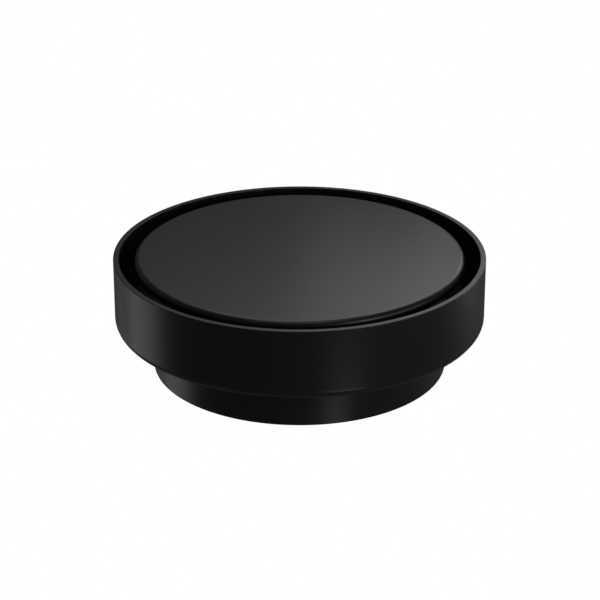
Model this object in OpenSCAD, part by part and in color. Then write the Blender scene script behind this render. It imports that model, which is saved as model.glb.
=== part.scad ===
// Round floor drain with a solid lift-out cover, an annular inlet slot, a hair strainer
// and a drop-in odour trap with a spring-closed valve. It stands on the end of its outlet
// spigot: +Z is up the axis, and z = 0 is the spigot's lower end.

/* [Body] */
// Outside diameter of the upper body
body_d = 127; // [122:0.5:132]
// Height of the whole drain, from the spigot's end to the rim
total_h = 40; // [40:0.5:48]
// Height of the wide upper body
body_h = 24.5; // [24.5:0.5:30]
// Sheet thickness of body and spigot
wall = 1.9; // [1.5:0.1:2]
// Outer radius of the bend between wall and floor
bend_r = 3.5; // [2.5:0.5:4]

/* [Outlet] */
// Outside diameter of the outlet spigot
spigot_d = 101; // [100.5:0.5:102]

/* [Cover] */
// Outside diameter of the cover plate
cover_d = 113; // [112:0.5:114]
// Height of the cover's turned-down edge
cover_edge_h = 3.4; // [3:0.1:3.6]
// How far the cover's face lies below the rim
cover_drop = 0.1; // [0.1:0.1:0.5]
// Radius of the cover's rolled upper edge
cover_roll_r = 1.9; // [1:0.1:1.9]
// Thickness of the cover's face
cover_t = 1.9; // [1.5:0.1:2]
// Number of legs under the cover
leg_count = 4; // [3:1:6]

/* [Strainer] */
// Outside diameter of the strainer
strainer_d = 92; // [90:0.5:92]
// Number of rings of drainage holes
hole_rings = 5; // [3:1:5]
// Diameter of one drainage hole
hole_d = 4; // [3:0.5:4.5]

/* [Trap] */
// Inside diameter of the trap cup
cup_d = 88; // [86:0.5:88]
// Diameter of the valve's seat opening
seat_d = 66; // [60:1:66]
// How far the valve opens
valve_travel = 3.5; // [2:0.1:3.5]
// Diameter of the valve stem
stem_d = 4; // [3:0.1:4]

/* [Hidden] */
$fn = 96;
past = 1; // How far a cut runs on past the surface that it opens

// Body and spigot
body_r = body_d / 2;
shoulder_z = total_h - body_h;
floor_z = shoulder_z + wall;
rim_break = 0.2;
spigot_r = spigot_d / 2;
bore_r = spigot_r - wall;
spigot_break = 0.5;
recess_h = 0.2; // Depth of the recess in the floor that the spigot is welded into

// Trap cup: a flange on the drain's floor, a wall down the spigot and a valve seat
flange_r = spigot_r + 1.8;
flange_t = 1.2;
flange_z = floor_z + flange_t;
cup_r = cup_d / 2;
cup_outer_r = bore_r - 1.2;
seal_band_r = bore_r - 0.4;
seal_band_h = 6;
seal_band_z = 8.6;
groove_h = 3;
groove_r = bore_r - 2.6;
seat_z = 8;
seat_t = 2;
seat_top = seat_z + seat_t;
seat_r = seat_d / 2;
rebate_r = strainer_d / 2 + 0.3;

// Stem guide: a hoop let into the seat, three arms and a hub
guide_hoop_r = seat_r + 2.5;
guide_t = 1.2;
guide_arm_w = 5;
guide_hub_r = 5;
guide_boss_wall = 1.5; // How far the hub's disc stands out round the boss
guide_hoop_in = 1.5; // How far the hoop reaches in over the seat opening
guide_hub_z = 7.6;
stem_r = stem_d / 2;
stem_gap = 0.06;

// Valve: it hangs under the seat from its stem
seal_t = 0.9;
disc_t = 1.8;
disc_r = seat_r + 4;
disc_z = seat_z - seal_t - disc_t;
stem_head_r = 4.5;
stem_head_t = 1.1;
spring_r = 3.3;
spring_wire_r = 0.35;
spring_turns = 4;
spring_shut_h = 4.5; // Height that the spring keeps when the valve is fully open
spring_top = seat_top + valve_travel + spring_shut_h;
washer_t = 0.6;
nut_af = 7;
nut_z = spring_top + washer_t;
nut_t = 1.6;
stem_top = nut_z + nut_t;

// Strainer: a perforated disc on a skirt that drops into the trap cup
strainer_t = 1.2;
strainer_z = stem_top + 0.6;
strainer_top = strainer_z + strainer_t;
skirt_r = strainer_d / 2;
skirt_z = floor_z + 0.2;
first_ring_r = 12.5;
first_ring_holes = 12;
more_holes = 6; // How many more holes each ring has than the ring inside it
hole_web = 2.2; // Metal between two rings of holes
skirt_slots = 24;
skirt_slot_w = 5;
slot_web = 1; // Metal between a slot and the disc above it
ring_bar_r = 1;
ring_r = 8;
ring_z = strainer_top + 1.3;
clip_r = 2;
clip_w = 8;
clip_gap = 0.08;
clip_foot = 9;
clip_t = 0.9;
rivet_r = 0.8;
rivet_y = -6;
rivet_head_r = 1.5;
rivet_head_t = 0.6;

// Cover: a shallow cap over a support plate with screwed-on legs
cover_r = cover_d / 2;
cover_top = total_h - cover_drop;
cover_z = cover_top - cover_edge_h;
cover_lip_break = 0.8;
support_r = cover_r - 2.2;
support_z = cover_z - 0.1;
support_t = cover_top - cover_t - support_z;
leg_t = 1.5;
leg_w = 12;
leg_r = flange_r + 0.9;
leg_foot_z = floor_z + 1.5;
leg_tab = 9;
tab_z = support_z - leg_t;
screw_r = 1.5;
screw_head_r = 2.8;
screw_head_t = 1.6;
screw_x = leg_r - 5;
screw_gap = 0.1;
screw_tip_gap = 0.4; // Metal left over the screw's tip
screw_socket_r = 1.2;
screw_socket_h = 1;
shank_top = cover_top - cover_t - screw_tip_gap;
pad_wall = 0.5;
pad_h = 3.4;

// A copy of the children at each of count even steps around the axis
module around(count, start = 0) {
    for (i = [0 : count - 1])
        rotate([0, 0, start + 360 * i / count]) children();
}

// A plain ring between two radii
module ring(outer_r, inner_r, z, h) {
    translate([0, 0, z])
        difference() {
            cylinder(r = outer_r, h = h);
            translate([0, 0, -past]) cylinder(r = inner_r, h = h + 2 * past);
        }
}

// A square in the section plane between two radii and two heights
module band(inner_r, outer_r, low, high) {
    translate([inner_r, low]) square([outer_r - inner_r, high - low]);
}

// Trims the sharp corner at (r, z) of a section to a radius
// side and up are +1 or -1 and point from the corner to the material's outside
module round_corner(r, z, radius, side, up) {
    translate([r - side * radius, z - up * radius])
        difference() {
            translate([side > 0 ? 0 : -2 * radius, up > 0 ? 0 : -2 * radius])
                square(2 * radius);
            circle(r = radius);
        }
}

module drain_body() {
    color("#1a1a1b")
        rotate_extrude()
            difference() {
                union() {
                    band(bore_r, body_r, shoulder_z, floor_z);
                    band(body_r - wall, body_r, shoulder_z, total_h);
                    translate([body_r - bend_r, shoulder_z])
                        square([bend_r - wall, bend_r]);
                }
                band(0, spigot_r, shoulder_z - past, shoulder_z + recess_h);
                round_corner(body_r, shoulder_z, bend_r, 1, -1);
                translate([body_r - bend_r, shoulder_z + bend_r])
                    circle(r = bend_r - wall);
                band(body_r - bend_r - past, body_r - wall, shoulder_z + bend_r, total_h + past);
                round_corner(body_r, total_h, rim_break, 1, 1);
                round_corner(body_r - wall, total_h, rim_break, -1, 1);
            }
}

module outlet_spigot() {
    color("#1a1a1b")
        rotate_extrude()
            difference() {
                band(bore_r, spigot_r, 0, shoulder_z + recess_h);
                round_corner(spigot_r, shoulder_z + recess_h, recess_h, 1, 1);
                round_corner(spigot_r, 0, spigot_break, 1, -1);
                round_corner(bore_r, 0, spigot_break, -1, -1);
            }
}

module trap_cup() {
    groove_z = seal_band_z + (seal_band_h - groove_h) / 2;
    color("#3c3f42")
        rotate_extrude()
            difference() {
                union() {
                    band(cup_r, flange_r, floor_z, flange_z);
                    band(cup_r, cup_outer_r, seat_z, flange_z);
                    band(cup_r, seal_band_r, seal_band_z, seal_band_z + seal_band_h);
                    band(seat_r, (cup_r + cup_outer_r) / 2, seat_z, seat_top);
                }
                band(groove_r, bore_r, groove_z, groove_z + groove_h);
                band(seat_r - past, guide_hoop_r, seat_top - guide_t, seat_top + past);
                band(cup_r - past, rebate_r, floor_z, flange_z + past);
                round_corner(flange_r, flange_z, 0.6, 1, 1);
            }
}

module trap_o_ring() {
    cord_r = (bore_r - groove_r) / 2;
    color("#101010")
        rotate_extrude()
            translate([bore_r - cord_r, seal_band_z + seal_band_h / 2])
                circle(r = cord_r, $fn = 32);
}

module stem_guide() {
    boss_h = seat_top - guide_t / 2 - guide_hub_z;
    color("#3c3f42")
        difference() {
            union() {
                translate([0, 0, seat_top - guide_t])
                    linear_extrude(guide_t) {
                        difference() {
                            circle(r = guide_hoop_r);
                            circle(r = seat_r - guide_hoop_in);
                        }
                        around(3)
                            translate([0, -guide_arm_w / 2])
                                square([seat_r, guide_arm_w]);
                        circle(r = guide_hub_r + guide_boss_wall);
                    }
                translate([0, 0, guide_hub_z]) cylinder(r = guide_hub_r, h = boss_h);
            }
            translate([0, 0, guide_hub_z - past])
                cylinder(r = stem_r + stem_gap, h = seat_top - guide_hub_z + 2 * past);
        }
}

// One ring of points around the spring's wire, at a share of the way up the helix
function wire_ring(share, sides) = [
    for (k = [0 : sides - 1])
        let (
            turn = 360 * spring_turns * share,
            low = seat_top + spring_wire_r,
            z = low + share * (spring_top - seat_top - 2 * spring_wire_r),
            r = spring_r + spring_wire_r * cos(360 * k / sides)
        )
        [r * cos(turn), r * sin(turn), z + spring_wire_r * sin(360 * k / sides)]
];

module valve_spring() {
    sides = 8;
    steps = spring_turns * 20;
    points = [for (i = [0 : steps]) each wire_ring(i / steps, sides)];
    walls = [
        for (i = [0 : steps - 1], k = [0 : sides - 1])
            let (a = i * sides + k, b = i * sides + (k + 1) % sides)
            each [[a, b, a + sides], [b, b + sides, a + sides]]
    ];
    first = [for (k = [1 : sides - 2]) [0, k + 1, k]];
    last = [for (k = [1 : sides - 2]) [steps * sides, steps * sides + k, steps * sides + k + 1]];
    color("#9a9c9e")
        polyhedron(points = points, faces = concat(walls, first, last));
}

module valve_disc() {
    color("#3c3f42") ring(disc_r, stem_r, disc_z, disc_t);
}

module valve_seal() {
    color("#c9c7c0") ring(disc_r, seat_r + 0.4, disc_z + disc_t, seal_t);
}

module valve_stem() {
    color("#b4b6b8") {
        translate([0, 0, disc_z - stem_head_t])
            cylinder(r = stem_head_r, h = stem_head_t);
        translate([0, 0, disc_z - stem_head_t])
            cylinder(r = stem_r, h = stem_top - disc_z + stem_head_t);
    }
}

module spring_washer() {
    color("#b4b6b8") ring(guide_hub_r - 0.4, stem_r, spring_top, washer_t);
}

module stem_nut() {
    color("#b4b6b8")
        translate([0, 0, nut_z])
            difference() {
                cylinder(r = nut_af / 2 / cos(30), h = stem_top - nut_z, $fn = 6);
                translate([0, 0, -past]) cylinder(r = stem_r, h = stem_top);
            }
}

module strainer_plate() {
    hole_pitch = hole_d + hole_web;
    half_step = 180 / first_ring_holes;
    color("#b4b6b8")
        translate([0, 0, strainer_z])
            linear_extrude(strainer_t)
                difference() {
                    circle(r = skirt_r - strainer_t);
                    for (i = [0 : hole_rings - 1])
                        around(first_ring_holes + more_holes * i, half_step * (i % 2))
                            translate([first_ring_r + i * hole_pitch, 0])
                                circle(d = hole_d, $fn = 24);
                }
}

module strainer_skirt() {
    slot_top = strainer_z - slot_web;
    color("#b4b6b8")
        difference() {
            ring(skirt_r, skirt_r - strainer_t, skirt_z, strainer_top - skirt_z);
            around(skirt_slots)
                translate([skirt_r - strainer_t - past, -skirt_slot_w / 2, flange_z])
                    cube([strainer_t + 2 * past, skirt_slot_w, slot_top - flange_z]);
        }
}

module pull_clip() {
    color("#b4b6b8")
        difference() {
            translate([-clip_w / 2, 0, 0])
                rotate([90, 0, 90])
                    linear_extrude(clip_w)
                        intersection() {
                            union() {
                                translate([0, ring_z]) circle(r = clip_r);
                                translate([-clip_foot, strainer_top]) square([clip_foot, clip_t]);
                            }
                            translate([-clip_foot, strainer_top]) square(2 * clip_foot);
                        }
            translate([-clip_w, 0, ring_z])
                rotate([0, 90, 0])
                    cylinder(r = ring_bar_r + clip_gap, h = 2 * clip_w);
            clip_rivet_places() cylinder(r = rivet_r, h = total_h);
        }
}

module clip_rivet_places() {
    for (side = [-1, 1])
        translate([side * clip_w / 4, rivet_y, 0]) children();
}

module clip_rivets() {
    color("#b4b6b8")
        clip_rivet_places() {
            translate([0, 0, strainer_top]) cylinder(r = rivet_r, h = clip_t);
            translate([0, 0, strainer_top + clip_t])
                cylinder(r = rivet_head_r, h = rivet_head_t);
        }
}

module pull_ring() {
    bow_r = ring_bar_r - 0.1;
    color("#b4b6b8")
        translate([0, 0, ring_z]) {
            translate([-ring_r - ring_bar_r, 0, 0])
                rotate([0, 90, 0])
                    cylinder(r = ring_bar_r, h = 2 * (ring_r + ring_bar_r));
            rotate_extrude(angle = 180)
                translate([ring_r, 0]) circle(r = bow_r, $fn = 32);
        }
}

module cover_plate() {
    color("#1a1a1b")
        rotate_extrude()
            difference() {
                band(0, cover_r, cover_z, cover_top);
                band(-past, support_r, cover_z - past, cover_top - cover_t);
                round_corner(cover_r, cover_top, cover_roll_r, 1, 1);
                round_corner(cover_r, cover_z, cover_lip_break, 1, -1);
            }
}

module support_plate() {
    color("#1a1a1b")
        difference() {
            translate([0, 0, support_z]) cylinder(r = support_r, h = support_t);
            leg_places()
                translate([screw_x, 0, 0])
                    cylinder(r = screw_r + screw_gap, h = shank_top);
        }
}

module leg_places() {
    around(leg_count, 180 / leg_count) children();
}

module cover_legs() {
    color("#1a1a1b")
        leg_places()
            difference() {
                union() {
                    translate([leg_r, -leg_w / 2, leg_foot_z])
                        cube([leg_t, leg_w, support_z - leg_foot_z]);
                    translate([leg_r - leg_tab, -leg_w / 2, tab_z])
                        cube([leg_tab + leg_t, leg_w, leg_t]);
                }
                translate([screw_x, 0, tab_z - past])
                    cylinder(r = screw_r + screw_gap, h = leg_t + 2 * past);
            }
}

module leg_screws() {
    color("#b4b6b8")
        leg_places()
            translate([screw_x, 0, 0])
                difference() {
                    union() {
                        translate([0, 0, tab_z - screw_head_t])
                            cylinder(r = screw_head_r, h = screw_head_t);
                        translate([0, 0, tab_z - screw_head_t / 2])
                            cylinder(r = screw_r, h = shank_top - tab_z + screw_head_t / 2);
                    }
                    translate([0, 0, tab_z - screw_head_t - past])
                        cylinder(r = screw_socket_r, h = past + screw_socket_h, $fn = 6);
                }
}

module leg_pads() {
    color("#101010")
        leg_places()
            difference() {
                translate([leg_r - pad_wall, -leg_w / 2 - pad_wall, floor_z])
                    cube([leg_t + 2 * pad_wall, leg_w + 2 * pad_wall, pad_h]);
                translate([leg_r, -leg_w / 2, leg_foot_z])
                    cube([leg_t, leg_w, pad_h]);
            }
}

drain_body();
outlet_spigot();
trap_cup();
trap_o_ring();
stem_guide();
valve_spring();
valve_disc();
valve_seal();
valve_stem();
spring_washer();
stem_nut();
strainer_plate();
strainer_skirt();
pull_clip();
clip_rivets();
pull_ring();
cover_plate();
support_plate();
cover_legs();
leg_screws();
leg_pads();
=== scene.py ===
# A round floor drain in matt-black coated stainless steel, put together from the outside in:
# body and spigot, odour trap, valve, strainer, and the solid cover that drops in last.
import math
import bmesh
import bpy
from mathutils import Matrix, Vector


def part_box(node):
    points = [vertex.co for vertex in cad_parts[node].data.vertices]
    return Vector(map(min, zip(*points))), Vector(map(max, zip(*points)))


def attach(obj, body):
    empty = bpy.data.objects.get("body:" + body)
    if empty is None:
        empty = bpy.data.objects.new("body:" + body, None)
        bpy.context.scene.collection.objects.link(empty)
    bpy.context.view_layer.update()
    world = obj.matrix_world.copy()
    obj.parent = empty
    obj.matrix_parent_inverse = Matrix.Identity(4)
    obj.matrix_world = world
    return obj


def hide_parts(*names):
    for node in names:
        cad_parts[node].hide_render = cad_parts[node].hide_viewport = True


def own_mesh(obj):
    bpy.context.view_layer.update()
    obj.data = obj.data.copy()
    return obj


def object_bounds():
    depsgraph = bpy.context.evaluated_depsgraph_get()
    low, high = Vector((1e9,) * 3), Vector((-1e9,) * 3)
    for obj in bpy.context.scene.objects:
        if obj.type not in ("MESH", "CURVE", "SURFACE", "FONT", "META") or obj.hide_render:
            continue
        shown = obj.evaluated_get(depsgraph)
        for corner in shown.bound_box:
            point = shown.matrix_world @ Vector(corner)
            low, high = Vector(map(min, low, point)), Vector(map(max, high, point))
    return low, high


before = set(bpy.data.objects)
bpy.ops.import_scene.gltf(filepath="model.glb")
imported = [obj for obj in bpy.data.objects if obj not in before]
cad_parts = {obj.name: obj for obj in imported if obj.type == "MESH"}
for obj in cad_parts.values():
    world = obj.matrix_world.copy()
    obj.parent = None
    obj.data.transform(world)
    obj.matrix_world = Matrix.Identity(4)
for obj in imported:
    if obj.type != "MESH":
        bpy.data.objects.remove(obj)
cad_low, cad_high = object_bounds()
mm = 0.001

# ---------------------------------------------------------------------------------------------
# Drain body: a wide cup spun from 1.9 mm stainless sheet, with a large hole in its floor for the
# outlet. The rim is faced flat and only just broken at its edges. Then it is powder coated.
sheet = 1.9 * mm
rim_break = 0.2 * mm
bend_r = 3.5 * mm
body_low, body_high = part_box("drain_body")
body_r, rim_z, shoulder_z = body_high.x, body_high.z, body_low.z
floor_z = shoulder_z + sheet
spigot_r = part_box("outlet_spigot")[1].x
bore_r = spigot_r - sheet


def rounded(corners, steps=6):
    """Points of a closed outline of (x, y, radius) corners, each rounded by its own radius."""
    points = []
    for i, (x, y, radius) in enumerate(corners):
        here = Vector((x, y))
        if radius == 0:
            points.append(here)
            continue
        before = (Vector(corners[i - 1][:2]) - here).normalized()
        after = (Vector(corners[(i + 1) % len(corners)][:2]) - here).normalized()
        half = before.angle(after) / 2
        centre = here + (before + after).normalized() * radius / math.sin(half)
        first = here + before * radius / math.tan(half) - centre
        last = here + after * radius / math.tan(half) - centre
        turn = first.angle_signed(last)
        for k in range(steps + 1):
            spoke = first.copy()
            spoke.rotate(Matrix.Rotation(-turn * k / steps, 2))
            points.append(centre + spoke)
    return points


def join_loops(shape, loops, around=True):
    """Adds a skin over loops of points. A loop of one point is a pole; around closes the last
    loop onto the first, and otherwise both end loops are capped unless they are poles."""
    rings = [[shape.verts.new(point) for point in loop] for loop in loops]
    count = max(len(ring) for ring in rings)
    pairs = list(zip(rings, rings[1:] + rings[:1])) if around else list(zip(rings, rings[1:]))
    for low, high in pairs:
        if len(low) == 1 and len(high) == 1:
            continue
        for k in range(count):
            n = (k + 1) % count
            corners = [low[k % len(low)], low[n % len(low)], high[n % len(high)], high[k % len(high)]]
            shape.faces.new(list(dict.fromkeys(corners)))
    if not around:
        for end in (rings[0], rings[-1]):
            if len(end) > 2:
                shape.faces.new(end)


def lathe(shape, section, sides=256, centre=(0, 0)):
    """Spins a closed section about the upright axis through centre. A point of the section is
    (radius, height), or a function of the angle that gives them where the shape isn't round."""
    loops = []
    for point in section:
        if not callable(point) and point[0] < 1e-9:
            loops.append([(centre[0], centre[1], point[1])])
            continue
        loop = []
        for k in range(sides):
            angle = math.tau * k / sides
            r, z = point(angle) if callable(point) else point
            loop.append((centre[0] + r * math.cos(angle), centre[1] + r * math.sin(angle), z))
        loops.append(loop)
    join_loops(shape, loops)


def finished(name, shape, material, crease=35):
    """Turns a shape into an object with smooth faces, and edges sharper than crease kept."""
    bmesh.ops.recalc_face_normals(shape, faces=shape.faces)
    mesh = bpy.data.meshes.new(name)
    shape.to_mesh(mesh)
    shape.free()
    mesh.shade_smooth()
    mesh.set_sharp_from_angle(angle=math.radians(crease))
    mesh.materials.append(material)
    piece = bpy.data.objects.new(name, mesh)
    bpy.context.scene.collection.objects.link(piece)
    flats = piece.modifiers.new("flat_faces", "WEIGHTED_NORMAL")
    flats.keep_sharp = True
    return piece


class Wire:
    """A value in a material's nodes. Arithmetic on it adds Math nodes to the same material."""

    def __init__(self, finish, socket):
        self.finish, self.socket = finish, socket

    def maths(self, operation, *values):
        return self.finish.node("ShaderNodeMath", {"operation": operation}, values)

    def __add__(self, other):
        return self.maths("ADD", self, other)

    def __mul__(self, other):
        return self.maths("MULTIPLY", self, other)

    __radd__ = __add__
    __rmul__ = __mul__


class Finish:
    """A material of nodes round one principled shader, whose fixed values are given at the start."""

    def __init__(self, name, fixed):
        self.material = bpy.data.materials.new(name)
        self.material.use_nodes = True
        self.tree = self.material.node_tree
        self.shader = self.tree.nodes["Principled BSDF"]
        for socket, value in fixed.items():
            self.shader.inputs[socket].default_value = value

    def node(self, kind, settings=(), sockets=(), output=0):
        """Adds a node: its settings first, then values or wires for its sockets."""
        node = self.tree.nodes.new(kind)
        for setting, value in dict(settings).items():
            setattr(node, setting, value)
        for key, value in dict(sockets).items() if isinstance(sockets, dict) else enumerate(sockets):
            self.connect(node.inputs[key], value)
        return Wire(self, node.outputs[output])

    def connect(self, socket, value):
        if isinstance(value, Wire):
            self.tree.links.new(value.socket, socket)
        else:
            socket.default_value = value

    def place(self):
        """Where a point is on its piece, in metres."""
        return self.node("ShaderNodeTexCoord", output="Object")

    def grain(self, size, detail=2.0, stretch=(1, 1, 1), where=None):
        """Noise of a grain size in metres, from 0 to 1, longer where stretch is above 1."""
        spread = [1 / (size * s) for s in stretch]
        sized = self.node(
            "ShaderNodeVectorMath",
            {"operation": "MULTIPLY"},
            [where or self.place(), spread],
        )
        return self.node("ShaderNodeTexNoise", (), {"Vector": sized, "Scale": 1.0, "Detail": detail})

    def mixed(self, share, first, second):
        """A colour that goes from first to second as share goes from 0 to 1."""
        return self.node(
            "ShaderNodeMix",
            {"data_type": "RGBA"},
            {0: share, 6: (*first, 1), 7: (*second, 1)},
            output=2,
        )

    def surface(self, colour, roughness, height, depth):
        """Feeds the shader: colour, roughness, and a bump whose full height is depth metres."""
        self.connect(self.shader.inputs["Base Color"], colour)
        self.connect(self.shader.inputs["Roughness"], roughness)
        bump = self.node("ShaderNodeBump", (), {"Strength": 1.0, "Distance": depth, "Height": height})
        self.connect(self.shader.inputs["Normal"], bump)


# Powder coat: fine flow-out texture with a dry grain on top, deep black, a soft satin sheen. In
# the corner round the body's floor, which the spray reaches badly, it is rough and dull.
coat = Finish("matt_black_powder_coat", {"IOR": 1.5, "Metallic": 0.0})
flow = coat.grain(0.9 * mm, detail=2.0)
speck = coat.grain(0.16 * mm, detail=2.0)
cloud = coat.grain(14 * mm, detail=3.0)
flat_place = coat.node("ShaderNodeVectorMath", {"operation": "MULTIPLY"}, [coat.place(), (1, 1, 0)])
reach = coat.node("ShaderNodeVectorMath", {"operation": "LENGTH"}, [flat_place], output="Value")
height = coat.node("ShaderNodeSeparateXYZ", (), [coat.place()], output="Z")
inside = height.maths("GREATER_THAN", height, floor_z - rim_break) * reach.maths(
    "LESS_THAN", reach, body_r - sheet / 2
)
dryness = coat.node(
    "ShaderNodeMapRange",
    {"interpolation_type": "SMOOTHSTEP"},
    {
        "Value": height, "From Min": floor_z + 3 * mm, "From Max": floor_z + 14 * mm,
        "To Min": 1.0, "To Max": 0.0,
    },
)
coat.surface(
    colour=coat.mixed(0.6 * cloud + 0.4 * speck, (0.0105, 0.0105, 0.0110), (0.0155, 0.0155, 0.0160)),
    roughness=0.285 + 0.03 * cloud + 0.02 * speck + 0.5 * inside * dryness,
    height=0.7 * flow + 0.3 * speck,
    depth=0.0035 * mm,
)

shape = bmesh.new()
lathe(shape, rounded([
    (body_r, shoulder_z, bend_r),
    (body_r, rim_z, rim_break),
    (body_r - sheet, rim_z, rim_break),
    (body_r - sheet, floor_z, bend_r - sheet),
    (bore_r, floor_z, rim_break),
    (bore_r, shoulder_z, 0),
], steps=10))
spun_body = finished("spun_body", shape, coat.material)
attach(spun_body, "drain")
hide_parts("drain_body")

# ---------------------------------------------------------------------------------------------
# Outlet spigot: a short length of the same gauge of tube, welded under the floor and coated with
# the body. Its open end is turned square and its edges are rounded off for the pipe's seal.
tube_break = 0.5 * mm
shape = bmesh.new()
lathe(shape, rounded([
    (spigot_r, cad_low.z, tube_break),
    (spigot_r, shoulder_z, 0),
    (bore_r, shoulder_z, 0),
    (bore_r, cad_low.z, tube_break),
]))
outlet_tube = finished("outlet_tube", shape, coat.material)
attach(outlet_tube, "drain")
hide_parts("outlet_spigot")

# ---------------------------------------------------------------------------------------------
# Trap cup: an injection-moulded plastic cup that drops into the spigot. Its flange rests on the
# drain's floor, its wall carries the O-ring groove, and its floor is the valve's seat.
flange_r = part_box("trap_cup")[1].x
flange_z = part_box("trap_cup")[1].z
seat_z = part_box("trap_cup")[0].z
seat_r = 33 * mm
seat_top = seat_z + 2 * mm
cup_r = 44 * mm
cup_outer_r = bore_r - 1.2 * mm
band_r = bore_r - 0.4 * mm
groove_r = bore_r - 2.6 * mm
band_low, groove_low, groove_high, band_high = 8.6 * mm, 10.1 * mm, 13.1 * mm, 14.6 * mm
band_ramp = 0.3 * mm
hoop_r = seat_r + 2.5 * mm
hoop_t = 1.2 * mm
skirt_seat_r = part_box("strainer_skirt")[1].x + 0.3 * mm

# Moulded plastic: an even spark texture from the mould, slightly shinier where it is worn smooth.
moulding = Finish("dark_grey_moulding", {"IOR": 1.46})
spark = moulding.grain(0.22 * mm, detail=3.0)
haze = moulding.grain(9 * mm, detail=2.0)
moulding.surface(
    colour=moulding.mixed(0.5 * haze + 0.5 * spark, (0.040, 0.043, 0.046), (0.058, 0.061, 0.065)),
    roughness=0.44 + 0.10 * haze + 0.08 * spark,
    height=spark,
    depth=0.012 * mm,
)

soft = 0.25 * mm
shape = bmesh.new()
lathe(shape, rounded([
    (flange_r, floor_z, soft),
    (flange_r, flange_z, 0.6 * mm),
    (skirt_seat_r, flange_z, soft),
    (skirt_seat_r, floor_z, soft),
    (cup_r, floor_z, soft),
    (cup_r, seat_top, 1.0 * mm),
    (hoop_r, seat_top, soft),
    (hoop_r, seat_top - hoop_t, 0),
    (seat_r, seat_top - hoop_t, 0),
    (seat_r, seat_z, soft),
    (cup_outer_r, seat_z, 0.6 * mm),
    (cup_outer_r, band_low - band_ramp, 0.2 * mm),
    (band_r, band_low + band_ramp, soft),
    (band_r, groove_low, 0.2 * mm),
    (groove_r, groove_low, 0.2 * mm),
    (groove_r, groove_high, 0.2 * mm),
    (band_r, groove_high, 0.2 * mm),
    (band_r, band_high, soft),
    (cup_outer_r, band_high, 0.2 * mm),
    (cup_outer_r, floor_z, 0),
], steps=4))
cup_moulding = finished("cup_moulding", shape, moulding.material)
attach(cup_moulding, "drain")
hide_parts("trap_cup")

# ---------------------------------------------------------------------------------------------
# O-ring: a round cord of black rubber in the cup's groove, which seals the cup to the spigot.
# It is moulded as one ring and stretched over the cup.
cord_r = (bore_r - groove_r) / 2
cord_sides = 24
cord_z = (groove_low + groove_high) / 2

# Black rubber: matt, with a faint grey bloom and the fine pits of a ground mould.
rubber = Finish("black_rubber", {"IOR": 1.5, "Specular IOR Level": 0.35})
bloom = rubber.grain(5 * mm, detail=4.0)
pits = rubber.grain(0.3 * mm, detail=3.0)
rubber.surface(
    colour=rubber.mixed(bloom, (0.011, 0.011, 0.011), (0.026, 0.026, 0.025)),
    roughness=0.62 + 0.18 * bloom,
    height=pits,
    depth=0.01 * mm,
)

shape = bmesh.new()
cord = []
for k in range(cord_sides):
    turn = math.tau * k / cord_sides
    cord.append((bore_r - cord_r + cord_r * math.cos(turn), cord_z + cord_r * math.sin(turn)))
lathe(shape, cord)
o_ring = finished("o_ring", shape, rubber.material)
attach(o_ring, "drain")
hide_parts("trap_o_ring")

# ---------------------------------------------------------------------------------------------
# Stem guide: a moulded hoop let into the seat, with three arms that carry a bored hub. The valve
# stem slides in the hub, and the spring stands on it.
guide_low, guide_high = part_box("stem_guide")
hub_r = 5 * mm
boss_r = 6.5 * mm
arm_w = 5 * mm
stem_r = 2 * mm
guide_bore_r = stem_r + 0.06 * mm
window_r = seat_r - 1.5 * mm
hub_top_z = seat_top - 0.6 * mm


def circle(radius, sides, centre=(0, 0)):
    """Points of a flat circle."""
    turns = [math.tau * k / sides for k in range(sides)]
    return [(centre[0] + radius * math.cos(a), centre[1] + radius * math.sin(a)) for a in turns]


def cut_plate(shape, outlines, thickness, edge, where=None):
    """Adds a flat plate, centred on its own plane: an outline and its holes, its edges rounded.
    where is the matrix that carries the plate to its place."""
    curve = bpy.data.curves.new("outlines", "CURVE")
    curve.dimensions = "2D"
    curve.fill_mode = "BOTH"
    curve.extrude = thickness / 2 - edge
    curve.bevel_depth = edge
    curve.bevel_resolution = 2
    curve.offset = -edge
    for outline in outlines:
        line = curve.splines.new("POLY")
        line.points.add(len(outline) - 1)
        for point, (x, y) in zip(line.points, outline):
            point.co = (x, y, 0, 1)
        line.use_cyclic_u = True
    holder = bpy.data.objects.new("outlines", curve)
    bpy.context.scene.collection.objects.link(holder)
    made = holder.evaluated_get(bpy.context.evaluated_depsgraph_get())
    mesh = bpy.data.meshes.new_from_object(made)
    if where is not None:
        mesh.transform(where)
    shape.from_mesh(mesh)
    bmesh.ops.remove_doubles(shape, verts=shape.verts, dist=1e-7)
    bpy.data.objects.remove(holder)
    bpy.data.curves.remove(curve)
    bpy.data.meshes.remove(mesh)


def window(arm, steps=24):
    """Outline of the window on the left of one arm, between two arms, the hub and the hoop."""
    start, end = math.tau * arm / 3, math.tau * (arm + 1) / 3
    points = []
    for radius, forward in ((boss_r, False), (window_r, True)):
        lean = math.asin(arm_w / 2 / radius)
        turns = [start + lean + (end - start - 2 * lean) * k / steps for k in range(steps + 1)]
        side = [(radius * math.cos(a), radius * math.sin(a)) for a in turns]
        points += side if forward else side[::-1]
    return points


shape = bmesh.new()
cut_plate(
    shape,
    [circle(hoop_r, 192)] + [window(arm) for arm in range(3)] + [circle(guide_bore_r, 48)],
    hoop_t,
    0.2 * mm,
    Matrix.Translation((0, 0, seat_top - hoop_t / 2)),
)
lathe(shape, rounded([
    (hub_r, guide_low.z, 0.4 * mm),
    (hub_r, hub_top_z, 0),
    (guide_bore_r, hub_top_z, 0),
    (guide_bore_r, guide_low.z, 0.1 * mm),
]), sides=96)
guide_moulding = finished("guide_moulding", shape, moulding.material)
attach(guide_moulding, "drain")
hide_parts("stem_guide")

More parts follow.
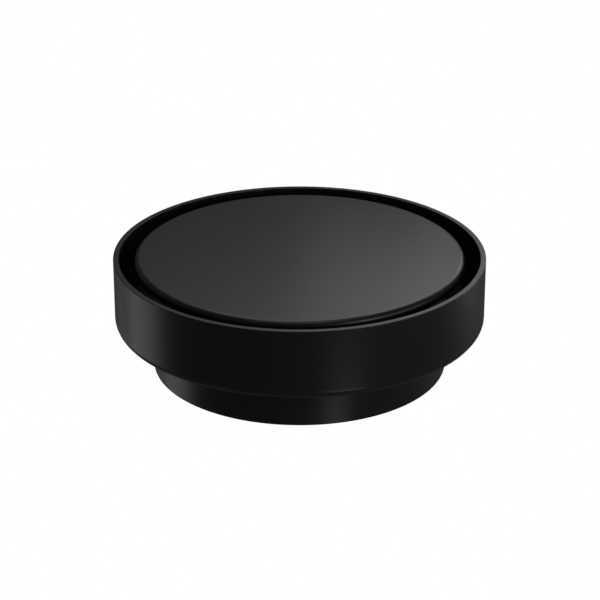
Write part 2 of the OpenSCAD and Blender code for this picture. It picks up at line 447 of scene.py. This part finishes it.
# ---------------------------------------------------------------------------------------------
# Valve disc: a moulded plate that hangs under the seat. Three raised rings stiffen its lower
# face, and its upper face carries the soft seal.
disc_low, disc_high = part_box("valve_disc")
disc_r = disc_high.x
disc_boss_r = stem_r + 4 * mm
rib_h = 0.5 * mm
rib_half_w = 0.7 * mm
rib_radii = [12 * mm, 21 * mm, 30 * mm]

plate_z = disc_low.z + rib_h
section = [
    (stem_r, disc_low.z, 0), (disc_boss_r, disc_low.z, 0.2 * mm), (disc_boss_r, plate_z, 0.2 * mm),
]
for radius in rib_radii:
    section += [
        (radius - rib_half_w, plate_z, 0.15 * mm), (radius - rib_half_w, disc_low.z, 0.2 * mm),
        (radius + rib_half_w, disc_low.z, 0.2 * mm), (radius + rib_half_w, plate_z, 0.15 * mm),
    ]
section += [(disc_r, plate_z, 0.5 * mm), (disc_r, disc_high.z, 0), (stem_r, disc_high.z, 0)]
shape = bmesh.new()
lathe(shape, rounded(section, steps=3), sides=192)
disc_moulding = finished("disc_moulding", shape, moulding.material)
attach(disc_moulding, "valve")
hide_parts("valve_disc")

# ---------------------------------------------------------------------------------------------
# Valve seal: a flat ring of off-white silicone stretched over the disc. Its inner lip is thinned
# so that it beds onto the seat.
seal_low, seal_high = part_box("valve_seal")
seal_inner_r = seat_r + 0.4 * mm

# Silicone: slightly see-through, soft and a little dusty.
silicone = Finish("off_white_silicone", {
    "IOR": 1.41, "Subsurface Weight": 0.25, "Subsurface Scale": 0.0008,
    "Subsurface Radius": (1.0, 0.9, 0.75),
})
dust = silicone.grain(2.5 * mm, detail=5.0)
silicone.surface(
    colour=silicone.mixed(dust, (0.66, 0.645, 0.60), (0.56, 0.55, 0.51)),
    roughness=0.38 + 0.2 * dust,
    height=silicone.grain(0.4 * mm, detail=2.0),
    depth=0.008 * mm,
)

shape = bmesh.new()
lathe(shape, rounded([
    (seal_high.x, seal_low.z, 0.15 * mm),
    (seal_high.x, seal_high.z, 0.3 * mm),
    (seal_inner_r + 1.2 * mm, seal_high.z, 0.3 * mm),
    (seal_inner_r, seal_high.z - 0.35 * mm, 0.15 * mm),
    (seal_inner_r, seal_low.z, 0.1 * mm),
], steps=4), sides=192)
soft_seal = finished("soft_seal", shape, silicone.material)
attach(soft_seal, "valve")
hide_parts("valve_seal")

# ---------------------------------------------------------------------------------------------
# Valve stem: a turned stainless pin with a flat head under the disc. Its top end is threaded for
# the nut.
stem_low, stem_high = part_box("valve_stem")
head_r = stem_high.x
pitch = 0.7 * mm
thread_depth = 0.28 * mm
thread_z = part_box("spring_washer")[0].z - 0.8 * mm
thread_top_z = stem_high.z - 0.4 * mm

# Turned stainless: bright, with fine tool marks in arcs round the drain's middle and slight smears
# of handling. One finish serves every turned, stamped and bent piece of bare steel.
turned = Finish("turned_stainless", {"Metallic": 1.0})
reach = turned.node("ShaderNodeVectorMath", {"operation": "LENGTH"}, [turned.place()], output="Value")
axis = turned.node("ShaderNodeCombineXYZ", (), {"X": reach, "Y": 0.0, "Z": 0.0})
ring_marks = turned.grain(0.08 * mm, detail=3.0, where=axis)
smears = turned.grain(3 * mm, detail=3.0)
turned.surface(
    colour=turned.mixed(smears, (0.60, 0.605, 0.61), (0.50, 0.505, 0.515)),
    roughness=0.24 + 0.10 * ring_marks + 0.08 * smears,
    height=ring_marks,
    depth=0.0015 * mm,
)


def thread(z):
    """A point of the section on the screw thread: the crest winds up once in every pitch."""
    def at(angle):
        share = (z / pitch - angle / math.tau) % 1
        return stem_r - thread_depth * abs(2 * share - 1), z
    return at


shape = bmesh.new()
steps = round((thread_top_z - thread_z) / pitch * 8)
threads = [thread(thread_z + (thread_top_z - thread_z) * k / steps) for k in range(steps + 1)]
foot = rounded([
    (0, stem_low.z, 0), (head_r, stem_low.z, 0.35 * mm), (head_r, disc_low.z, 0.1 * mm),
    (stem_r, disc_low.z, 0), (stem_r, thread_z - 0.2 * mm, 0),
], steps=4)
lathe(shape, foot + threads + [(stem_r - 0.5 * mm, stem_high.z), (0, stem_high.z)], sides=64)
headed_stem = finished("headed_stem", shape, turned.material)
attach(headed_stem, "valve")
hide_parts("valve_stem")

# ---------------------------------------------------------------------------------------------
# Valve spring: a compression spring of 0.7 mm stainless wire between the hub and the washer. Its
# end coils are closed and ground flat.
spring_low = guide_high.z
spring_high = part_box("spring_washer")[0].z
wire_r = 0.35 * mm
coil_r = 3.3 * mm
coils = 5.5
closed_coils = 1.0
ground_flat = 0.6 * wire_r

# Drawn wire: dull bright, with fine lines that lie level, close to the run of the wire.
drawn = Finish("drawn_spring_wire", {"Metallic": 1.0})
lines = drawn.grain(0.12 * mm, detail=3.0, stretch=(1, 1, 0.3))
drawn.surface(
    colour=drawn.mixed(lines, (0.52, 0.525, 0.53), (0.42, 0.42, 0.425)),
    roughness=0.30 + 0.14 * lines,
    height=lines,
    depth=0.002 * mm,
)


def swept(shape, path, radius, sides, around):
    """Adds a round bar along a path that stays nearly level."""
    loops = []
    for i, point in enumerate(path):
        after = path[(i + 1) % len(path)] if around or i < len(path) - 1 else point
        before = path[i - 1] if around or i > 0 else point
        side = (after - before).cross(Vector((0, 0, 1))).normalized()
        top = side.cross(after - before).normalized()
        turns = [math.tau * k / sides for k in range(sides)]
        loops.append([point + radius * (side * math.cos(a) + top * math.sin(a)) for a in turns])
    join_loops(shape, loops, around)


steps = 264
rises = []
for k in range(steps):
    done = coils * (k + 0.5) / steps
    near_end = min(done, coils - done)
    opening = min(max((near_end - closed_coils * 0.6) / 0.5, 0), 1)
    rises.append((opening, coils / steps))
closed_rise = 2 * wire_r * sum(turn for opening, turn in rises)
spare = spring_high - spring_low - 2 * wire_r - closed_rise
open_turns = sum(opening * turn for opening, turn in rises)
z = spring_low + wire_r
path = [Vector((coil_r, 0, z))]
for k, (opening, turn) in enumerate(rises):
    z += turn * (2 * wire_r + opening * spare / open_turns)
    angle = math.tau * coils * (k + 1) / steps
    path.append(Vector((coil_r * math.cos(angle), coil_r * math.sin(angle), z)))
shape = bmesh.new()
swept(shape, path, wire_r, 12, around=False)
centre_z = (spring_low + spring_high) / 2
stretch = (spring_high - spring_low) / (spring_high - spring_low - 2 * ground_flat)
for vert in shape.verts:
    cut_z = min(max(vert.co.z, spring_low + ground_flat), spring_high - ground_flat)
    vert.co.z = centre_z + (cut_z - centre_z) * stretch
coil_spring = finished("coil_spring", shape, drawn.material, crease=50)
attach(coil_spring, "drain")
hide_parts("valve_spring")
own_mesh(coil_spring)

# ---------------------------------------------------------------------------------------------
# Spring washer and nut: a flat stainless washer takes the spring's push, and a thin hexagon nut
# with chamfered corners holds it on the stem's thread.
washer_low, washer_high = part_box("spring_washer")
nut_low, nut_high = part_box("stem_nut")
nut_flat_r = 3.5 * mm
nut_land_r = 0.97 * nut_flat_r
nut_mouth = 0.35 * mm
nut_mouth_h = 0.3 * mm
nut_corner_drop = 0.05 * mm

shape = bmesh.new()
lathe(shape, rounded([
    (washer_high.x, washer_low.z, 0.12 * mm), (washer_high.x, washer_high.z, 0.12 * mm),
    (stem_r, washer_high.z, 0.05 * mm), (stem_r, washer_low.z, 0.05 * mm),
], steps=3), sides=96)
flat_washer = finished("flat_washer", shape, turned.material)
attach(flat_washer, "valve")
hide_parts("spring_washer")


def hexagon(flat_r, z, chamfer_from=None, slope=0.55):
    """A point of the section on a hexagon. With chamfer_from, the corners beyond that radius are
    cut back from z on a cone."""
    def at(angle):
        r = flat_r / math.cos((angle + math.pi / 6) % (math.pi / 3) - math.pi / 6)
        return r, z - slope * max(r - chamfer_from, 0) if chamfer_from else z
    return at


shape = bmesh.new()
lathe(shape, [
    (stem_r, nut_low.z), hexagon(nut_flat_r, nut_low.z),
    hexagon(nut_flat_r, nut_high.z - nut_corner_drop, chamfer_from=nut_flat_r),
    (nut_land_r, nut_high.z), (stem_r + nut_mouth, nut_high.z), (stem_r, nut_high.z - nut_mouth_h),
], sides=96)
hex_nut = finished("hex_nut", shape, turned.material, crease=25)
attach(hex_nut, "valve")
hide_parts("stem_nut")

# ---------------------------------------------------------------------------------------------
# Strainer: a stainless disc punched with rings of round holes, welded into a slotted skirt that
# stands in the cup's mouth. The disc is brushed in rings; the skirt is left bright.
strainer_low, strainer_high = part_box("strainer_plate")
skirt_low, skirt_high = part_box("strainer_skirt")
skirt_r = skirt_high.x
strainer_t = strainer_high.z - strainer_low.z
hole_r = 2 * mm
first_ring_r = 12.5 * mm
ring_step = 6.2 * mm
hole_rings = 5
first_ring_holes = 12
more_holes = 6
every_other_turn = math.radians(15)
ring_share = 0.012
slot_low, slot_high = flange_z, strainer_low.z - 1 * mm
slot_half_w = 2.5 * mm
slots = 24

# Ring-brushed stainless: fine concentric scratches, cloudy patches where the belt pressed less.
brushed = Finish("ring_brushed_stainless", {"Metallic": 1.0})
flat_place = brushed.node(
    "ShaderNodeVectorMath", {"operation": "MULTIPLY"}, [brushed.place(), (1, 1, 0)]
)
reach = brushed.node("ShaderNodeVectorMath", {"operation": "LENGTH"}, [flat_place], output="Value")
around_disc = brushed.node(
    "ShaderNodeVectorMath", {"operation": "SCALE"}, {0: flat_place, "Scale": ring_share}
)
spread_out = brushed.node("ShaderNodeCombineXYZ", (), {"X": reach, "Y": 0.0, "Z": 0.0})
along_ring = brushed.node(
    "ShaderNodeVectorMath", {"operation": "ADD"}, [spread_out, around_disc]
)
scratches = brushed.grain(0.07 * mm, detail=3.0, where=along_ring)
patches = brushed.grain(16 * mm, detail=3.0)
brushed.surface(
    colour=brushed.mixed(0.6 * scratches + 0.4 * patches, (0.60, 0.60, 0.605), (0.46, 0.465, 0.475)),
    roughness=0.25 + 0.12 * scratches + 0.10 * patches,
    height=scratches,
    depth=0.003 * mm,
)

outlines = [circle(skirt_r - strainer_t, 192)]
for ring in range(hole_rings):
    count = first_ring_holes + more_holes * ring
    for k in range(count):
        turn = math.tau * k / count + every_other_turn * (ring % 2)
        radius = first_ring_r + ring * ring_step
        outlines.append(circle(hole_r, 32, (radius * math.cos(turn), radius * math.sin(turn))))
shape = bmesh.new()
middle_z = (strainer_low.z + strainer_high.z) / 2
cut_plate(shape, outlines, strainer_t, 0.15 * mm, Matrix.Translation((0, 0, middle_z)))
strainer_disc = finished("strainer_disc", shape, brushed.material)
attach(strainer_disc, "strainer")
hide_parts("strainer_plate")

slot_cells, post_cells = 4, 6
slot_turn = 2 * math.asin(slot_half_w / skirt_r)
post_turn = math.tau / slots - slot_turn
edges = []
for slot in range(slots):
    start = math.tau * slot / slots - slot_turn / 2
    edges += [(start + slot_turn * k / slot_cells, k < slot_cells) for k in range(slot_cells)]
    start += slot_turn
    edges += [(start + post_turn * k / post_cells, False) for k in range(post_cells)]
heights = [skirt_low.z, slot_low, slot_high, skirt_high.z]
shape = bmesh.new()
walls = []
for radius in (skirt_r, skirt_r - strainer_t):
    walls.append([
        [shape.verts.new((radius * math.cos(a), radius * math.sin(a), z)) for z in heights]
        for a, _ in edges
    ])


def solid(column, level):
    """Whether the skirt has metal in this cell."""
    inside = 0 <= level < len(heights) - 1
    return inside and not (edges[column % len(edges)][1] and level == 1)


for column in range(len(edges)):
    n = (column + 1) % len(edges)
    for level in range(len(heights) - 1):
        if not solid(column, level):
            continue
        up = level + 1
        cell = [(column, level), (n, level), (n, up), (column, up)]
        for wall in walls:
            shape.faces.new([wall[i][j] for i, j in cell])
        beyond = [(column, level - 1), (column + 1, level), (column, up), (column - 1, level)]
        for side, (a, b) in enumerate(zip(cell, cell[1:] + cell[:1])):
            if not solid(*beyond[side]):
                shape.faces.new([
                    walls[0][a[0]][a[1]], walls[0][b[0]][b[1]],
                    walls[1][b[0]][b[1]], walls[1][a[0]][a[1]],
                ])
slotted_skirt = finished("slotted_skirt", shape, turned.material)
broken = slotted_skirt.modifiers.new("broken_edges", "BEVEL")
broken.width = 0.15 * mm
broken.segments = 2
broken.limit_method = "ANGLE"
broken.angle_limit = math.radians(40)
slotted_skirt.modifiers.move(1, 0)
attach(slotted_skirt, "strainer")
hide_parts("strainer_skirt")

# ---------------------------------------------------------------------------------------------
# Pull ring and clip: a bow of 2 mm stainless wire lies flat on the strainer, and folds up for a
# finger. A folded clip holds its straight side, with two domed rivets through the clip's foot.
clip_low, clip_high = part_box("pull_clip")
ring_z = strainer_high.z + 1.3 * mm
clip_t = 0.9 * mm
clip_outer_r = 2 * mm
clip_bore_r = 1.08 * mm
clip_w = clip_high.x - clip_low.x
rivet_x, rivet_y = clip_w / 4, -6 * mm
rivet_r = 1.5 * mm
rivet_h = 0.6 * mm
bow_r = 8 * mm
bar_r = 1.0 * mm
bow_corner_r = 1.6 * mm
barrel_steps, corner_steps, bow_steps = 40, 8, 40

plate_top = strainer_high.z
start = math.asin((plate_top + clip_t - ring_z) / clip_outer_r)
end = math.asin((plate_top - ring_z) / clip_outer_r)
barrel = []
for k in range(barrel_steps + 1):
    angle = math.pi - start + (end - (math.pi - start)) * k / barrel_steps
    barrel.append((clip_outer_r * math.cos(angle), ring_z + clip_outer_r * math.sin(angle)))
outline = [(clip_low.y, plate_top), (clip_low.y, plate_top + clip_t)] + barrel
bore = circle(clip_bore_r, 40, (0, ring_z))
across = Matrix(((0, 0, 1, 0), (1, 0, 0, 0), (0, 1, 0, 0), (0, 0, 0, 1)))
shape = bmesh.new()
cut_plate(shape, [outline, bore], clip_w, 0.12 * mm, across)
ring_clip = finished("ring_clip", shape, turned.material)
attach(ring_clip, "strainer")
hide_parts("pull_clip")

shape = bmesh.new()
rivet_base = plate_top + clip_t
for side in (-1, 1):
    lathe(shape, rounded([
        (0, rivet_base, 0), (rivet_r, rivet_base, 0), (rivet_r, rivet_base + rivet_h, 0.5 * mm),
        (0, rivet_base + rivet_h, 0),
    ]), sides=48, centre=(side * rivet_x, rivet_y))
rivet_heads = finished("rivet_heads", shape, turned.material)
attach(rivet_heads, "strainer")
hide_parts("clip_rivets")

path = [Vector((x * mm, 0, ring_z)) for x in (-5, -2.5, 0, 2.5, 5)]
corner = []
for k in range(corner_steps + 1):
    angle = math.radians(-90 + 90 * k / corner_steps)
    corner.append(Vector((
        bow_r - bow_corner_r + bow_corner_r * math.cos(angle),
        bow_corner_r + bow_corner_r * math.sin(angle), ring_z,
    )))
path += corner
for k in range(1, bow_steps):
    angle = math.pi * k / bow_steps
    path.append(Vector((
        bow_r * math.cos(angle), bow_corner_r + (bow_r - bow_corner_r) * math.sin(angle), ring_z,
    )))
path += [Vector((-point.x, point.y, ring_z)) for point in reversed(corner)]
shape = bmesh.new()
swept(shape, path, bar_r, 20, around=True)
lift_bow = finished("lift_bow", shape, turned.material, crease=80)
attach(lift_bow, "ring")
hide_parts("pull_ring")

# ---------------------------------------------------------------------------------------------
# Cover plate: a shallow cap pressed from stainless sheet, its upper edge rolled over a radius of
# 1.9 mm and its skirt turned down and trimmed. It is powder coated like the body.
cover_low, cover_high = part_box("cover_plate")
cover_r = cover_high.x
roll_r = 1.9 * mm
lip_r = 0.8 * mm
face_t = 1.9 * mm
support_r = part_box("support_plate")[1].x

shape = bmesh.new()
lathe(shape, rounded([
    (0, cover_high.z, 0),
    (cover_r, cover_high.z, roll_r),
    (cover_r, cover_low.z, lip_r),
    (support_r, cover_low.z, 0.2 * mm),
    (support_r, cover_high.z - face_t, 0.3 * mm),
    (0, cover_high.z - face_t, 0),
], steps=12))
cover_cap = finished("cover_cap", shape, coat.material)
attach(cover_cap, "cover")
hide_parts("cover_plate")

# ---------------------------------------------------------------------------------------------
# Support plate: a flat disc that fills the cap from below and stiffens it. Two shallow grooves
# are pressed into its lower face.
support_low, support_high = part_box("support_plate")
groove_h = 0.3 * mm
groove_half_w = 1.4 * mm

section = [(0, support_low.z, 0)]
for radius in (18 * mm, 34 * mm):
    section += [
        (radius - groove_half_w, support_low.z, 0.4 * mm),
        (radius - groove_half_w / 2, support_low.z + groove_h, 0.4 * mm),
        (radius + groove_half_w / 2, support_low.z + groove_h, 0.4 * mm),
        (radius + groove_half_w, support_low.z, 0.4 * mm),
    ]
section += [(support_r, support_low.z, 0.3 * mm), (support_r, support_high.z, 0), (0, support_high.z, 0)]
shape = bmesh.new()
lathe(shape, rounded(section, steps=3))
support_disc = finished("support_disc", shape, coat.material)
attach(support_disc, "cover")
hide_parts("support_plate")

# ---------------------------------------------------------------------------------------------
# Cover legs: four strips of 1.5 mm sheet, each bent once. The short tab is screwed up under the
# support plate, and the long limb stands round the trap's flange, which centres the cover.
leg_t = 1.5 * mm
leg_w = 12 * mm
leg_x = flange_r + 0.9 * mm
leg_foot_z = floor_z + 1.5 * mm
tab_x = leg_x - 9 * mm
tab_z = support_low.z - leg_t
inner_bend_r = 0.5 * mm
leg_turns = [math.radians(45 + 90 * k) for k in range(4)]

upright = Matrix(((1, 0, 0, 0), (0, 0, -1, 0), (0, 1, 0, 0), (0, 0, 0, 1)))
leg_outline = rounded([
    (tab_x, tab_z, 0.3 * mm),
    (leg_x, tab_z, inner_bend_r),
    (leg_x, leg_foot_z, 0.3 * mm),
    (leg_x + leg_t, leg_foot_z, 0.3 * mm),
    (leg_x + leg_t, support_low.z, inner_bend_r + leg_t),
    (tab_x, support_low.z, 0.3 * mm),
])
shape = bmesh.new()
for turn in leg_turns:
    cut_plate(shape, [leg_outline], leg_w, 0.25 * mm, Matrix.Rotation(turn, 4, "Z") @ upright)
bent_legs = finished("bent_legs", shape, coat.material)
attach(bent_legs, "cover")
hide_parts("cover_legs")

# ---------------------------------------------------------------------------------------------
# Leg screws: stainless M3 screws with a low round head and a hexagon socket, one up through each
# leg's tab into the support plate.
screw_r = 1.5 * mm
screw_head_r = 2.8 * mm
screw_head_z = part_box("leg_screws")[0].z
socket_flat_r = 1.04 * mm
socket_h = 1.0 * mm
socket_mouth_r = 1.3 * socket_flat_r
socket_mouth_h = 0.1 * mm
socket_tip_h = 1.15 * socket_h
screw_tip_z = support_high.z - 0.4 * mm
screw_x = leg_x - 5 * mm

shape = bmesh.new()
head = rounded([
    (socket_mouth_r, screw_head_z, 0), (screw_head_r, screw_head_z, 0.7 * mm),
    (screw_head_r, tab_z, 0), (screw_r, tab_z, 0), (screw_r, screw_tip_z, 0), (0, screw_tip_z, 0),
])
for turn in leg_turns:
    lathe(shape, [
        (0, screw_head_z + socket_tip_h),
        hexagon(socket_flat_r, screw_head_z + socket_h),
        hexagon(socket_flat_r, screw_head_z + socket_mouth_h),
        *head,
    ], sides=48, centre=(screw_x * math.cos(turn), screw_x * math.sin(turn)))
socket_screws = finished("socket_screws", shape, turned.material)
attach(socket_screws, "cover")
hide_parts("leg_screws")

# ---------------------------------------------------------------------------------------------
# Leg pads: small black rubber shoes pushed onto the ends of the legs, so that the cover sits
# without rattling.
pad_high_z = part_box("leg_pads")[1].z
pad_wall = 0.5 * mm
pad_half = (leg_t / 2 + pad_wall, leg_w / 2 + pad_wall)
pad_corner_r = 0.7 * mm
pad_edge = 0.35 * mm
pad_steps = 4


def pad_loop(inset, corner_r, z, turn):
    """One level of a shoe: a rounded oblong, drawn in by inset, at height z."""
    half_x, half_y = pad_half[0] - inset, pad_half[1] - inset
    corners = [(-half_x, -half_y), (half_x, -half_y), (half_x, half_y), (-half_x, half_y)]
    flat = rounded([(x, y, corner_r) for x, y in corners], steps=5)
    spin = Matrix.Rotation(turn, 4, "Z")
    return [spin @ Vector((leg_x + leg_t / 2 + point.x, point.y, z)) for point in flat]


shape = bmesh.new()
for turn in leg_turns:
    levels = [(pad_edge, pad_corner_r - pad_edge + 0.05 * mm, floor_z)]
    for k in range(1, pad_steps + 1):
        lean = math.radians(90 * k / pad_steps)
        inset = pad_edge * (1 - math.sin(lean))
        levels.append((inset, pad_corner_r - inset, floor_z + pad_edge * (1 - math.cos(lean))))
    for k in range(pad_steps + 1):
        lean = math.radians(90 * k / pad_steps)
        inset = pad_wall / 2 * (1 - math.cos(lean))
        levels.append((inset, pad_corner_r - inset, pad_high_z - pad_wall / 2 * (1 - math.sin(lean))))
    levels.append((pad_wall, pad_corner_r - pad_wall, pad_high_z - 0.1 * mm))
    levels.append((pad_wall, pad_corner_r - pad_wall, leg_foot_z))
    join_loops(shape, [pad_loop(*level, turn) for level in levels], around=False)
rubber_shoes = finished("rubber_shoes", shape, rubber.material)
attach(rubber_shoes, "cover")
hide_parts("leg_pads")

# ---------------------------------------------------------------------------------------------
# Studio: a plain white floor, twelve soft panels and a camera with a long lens. The floor only
# shows white from above: it casts no light, so the black walls keep their dark gradients. The
# panels' strengths are round values, set near those of a least-squares fit.
floor_half = 6.0
floor_gap = 0.0002
floor_mesh = bpy.data.meshes.new("studio_floor")
floor_corners = [(-1, -1), (1, -1), (1, 1), (-1, 1)]
floor_mesh.from_pydata(
    [(x * floor_half, y * floor_half, -floor_gap) for x, y in floor_corners], [], [(0, 1, 2, 3)]
)
white = Finish("white_floor", {})
glow = white.node("ShaderNodeEmission", (), {"Color": (1, 1, 1, 1), "Strength": 1.0})
clear = white.node("ShaderNodeBsdfTransparent")
from_below = white.node("ShaderNodeNewGeometry", output="Backfacing")
shown = white.node("ShaderNodeMixShader", (), [from_below, glow, clear])
white.connect(white.tree.nodes["Material Output"].inputs["Surface"], shown)
white.tree.nodes.remove(white.shader)
floor_mesh.materials.append(white.material)
studio_floor = bpy.data.objects.new("studio_floor", floor_mesh)
bpy.context.scene.collection.objects.link(studio_floor)
studio_floor.visible_diffuse = False
studio_floor.visible_glossy = False
studio_floor.visible_shadow = False

room_light = 0.065
surround = bpy.data.worlds.new("surround")
bpy.context.scene.world = surround
surround.use_nodes = True
nodes, links = surround.node_tree.nodes, surround.node_tree.links
rays = nodes.new("ShaderNodeLightPath")
shade = nodes.new("ShaderNodeMix")
shade.data_type = "RGBA"
shade.inputs[6].default_value = (room_light, room_light, room_light, 1)
shade.inputs[7].default_value = (1, 1, 1, 1)
links.new(rays.outputs["Is Camera Ray"], shade.inputs[0])
links.new(shade.outputs[2], nodes["Background"].inputs["Color"])
middle = Vector((0, 0, 0.025))


def panel(name, bearing, rise, reach, size, strength):
    """A soft light that faces the drain. bearing turns from the front towards the right."""
    turn, lift = math.radians(bearing), math.radians(rise)
    away = Vector((math.sin(turn) * math.cos(lift), -math.cos(turn) * math.cos(lift), math.sin(lift)))
    light = bpy.data.lights.new(name, "AREA")
    light.shape = "RECTANGLE"
    light.size, light.size_y = size
    light.energy = strength
    lamp = bpy.data.objects.new(name, light)
    lamp.location = middle + reach * away
    lamp.rotation_euler = away.to_track_quat("Z", "Y").to_euler()
    lamp.visible_camera = False
    bpy.context.scene.collection.objects.link(lamp)


panel("overhead_panel", 0, 85, 0.70, (0.40, 0.40), 0.34)
panel("rear_high_panel", 195, 60, 0.70, (0.30, 0.30), 0.32)
panel("rear_panel", 180, 40, 0.70, (0.25, 0.25), 0.16)
panel("rear_card", 165, 38, 0.28, (0.12, 0.12), 0.03)
panel("rear_right_card", 150, 34, 0.20, (0.09, 0.09), 0.01)
panel("right_card", 138, 26, 0.20, (0.07, 0.07), 0.02)
panel("right_low_card", 112, -8, 0.41, (0.08, 0.08), 0.15)
panel("front_right_card", 40, 16, 0.28, (0.10, 0.10), 0.09)
panel("side_right_card", 70, 14, 0.25, (0.10, 0.10), 0.035)
panel("front_low_card", 27, -34, 0.41, (0.10, 0.10), 0.04)
panel("left_low_panel", 252, -24, 0.70, (0.36, 0.22), 0.17)
panel("left_rear_low_panel", 222, -24, 0.70, (0.20, 0.22), 0.02)

camera_rise = math.radians(24.1)
camera_reach = 0.764
camera_aim = Vector((0.00015, 0, rim_z - 17.4 * mm))
lens = bpy.data.cameras.new("camera")
lens.lens = 133.1
lens.clip_start = 0.01
camera = bpy.data.objects.new("camera", lens)
camera.location = camera_aim + camera_reach * Vector((0, -math.cos(camera_rise), math.sin(camera_rise)))
camera.rotation_euler = (math.pi / 2 - camera_rise, 0, 0)
bpy.context.scene.collection.objects.link(camera)
bpy.context.scene.camera = camera
bpy.context.scene.view_settings.view_transform = "Standard"
